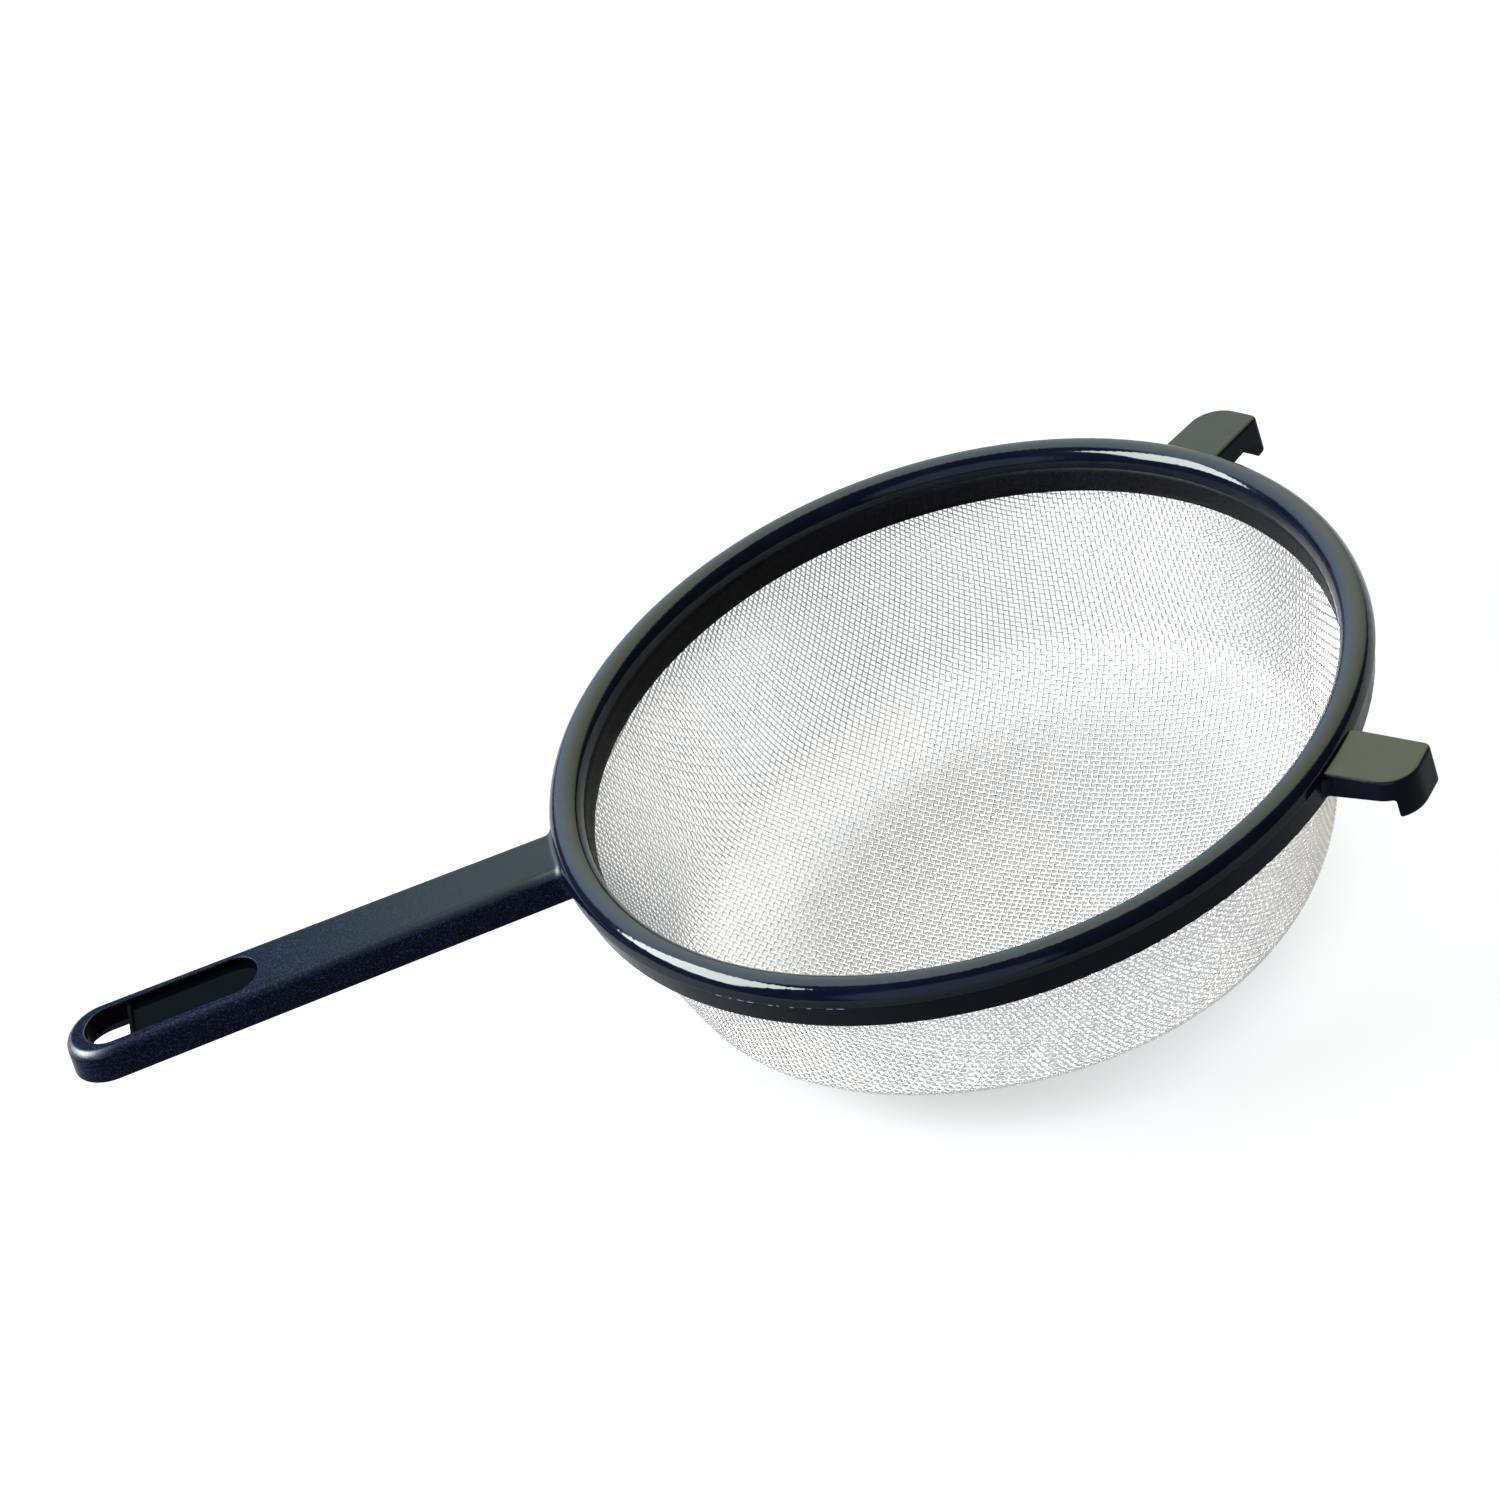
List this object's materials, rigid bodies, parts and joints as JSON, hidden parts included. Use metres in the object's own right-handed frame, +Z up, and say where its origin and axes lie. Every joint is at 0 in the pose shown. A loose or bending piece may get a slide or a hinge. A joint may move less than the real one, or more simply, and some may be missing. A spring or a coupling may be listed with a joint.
{
  "type": "wire mesh kitchen strainer",
  "caption": "Round woven-wire kitchen strainer with a moulded plastic rim, a long straight handle with a hanging slot, and rest hooks opposite the handle.",
  "frame": {"origin": "Middle of the bowl's small flat foot, on the surface that the strainer stands on, straight under the centre of the rim.", "axes": "+Z is up along the bowl's axis. The handle runs along -X. The two hooks lie on either side of +X, the left one towards +Y and the right one towards -Y."},
  "size_m": [0.3313, 0.204, 0.072],
  "materials": {
    "rim_plastic": "glossy dark navy plastic",
    "band_plastic": "satin dark navy plastic",
    "handle_plastic": "dark navy plastic with a fine sparked texture on top",
    "woven_steel": "bright woven stainless wire"
  },
  "bodies": {
    "root": {"lip_ring": "rim_plastic", "rim_band": "band_plastic", "handle": "handle_plastic", "hook_left": "band_plastic", "hook_right": "band_plastic", "mesh_bowl": "woven_steel"}
  },
  "joints": []
}
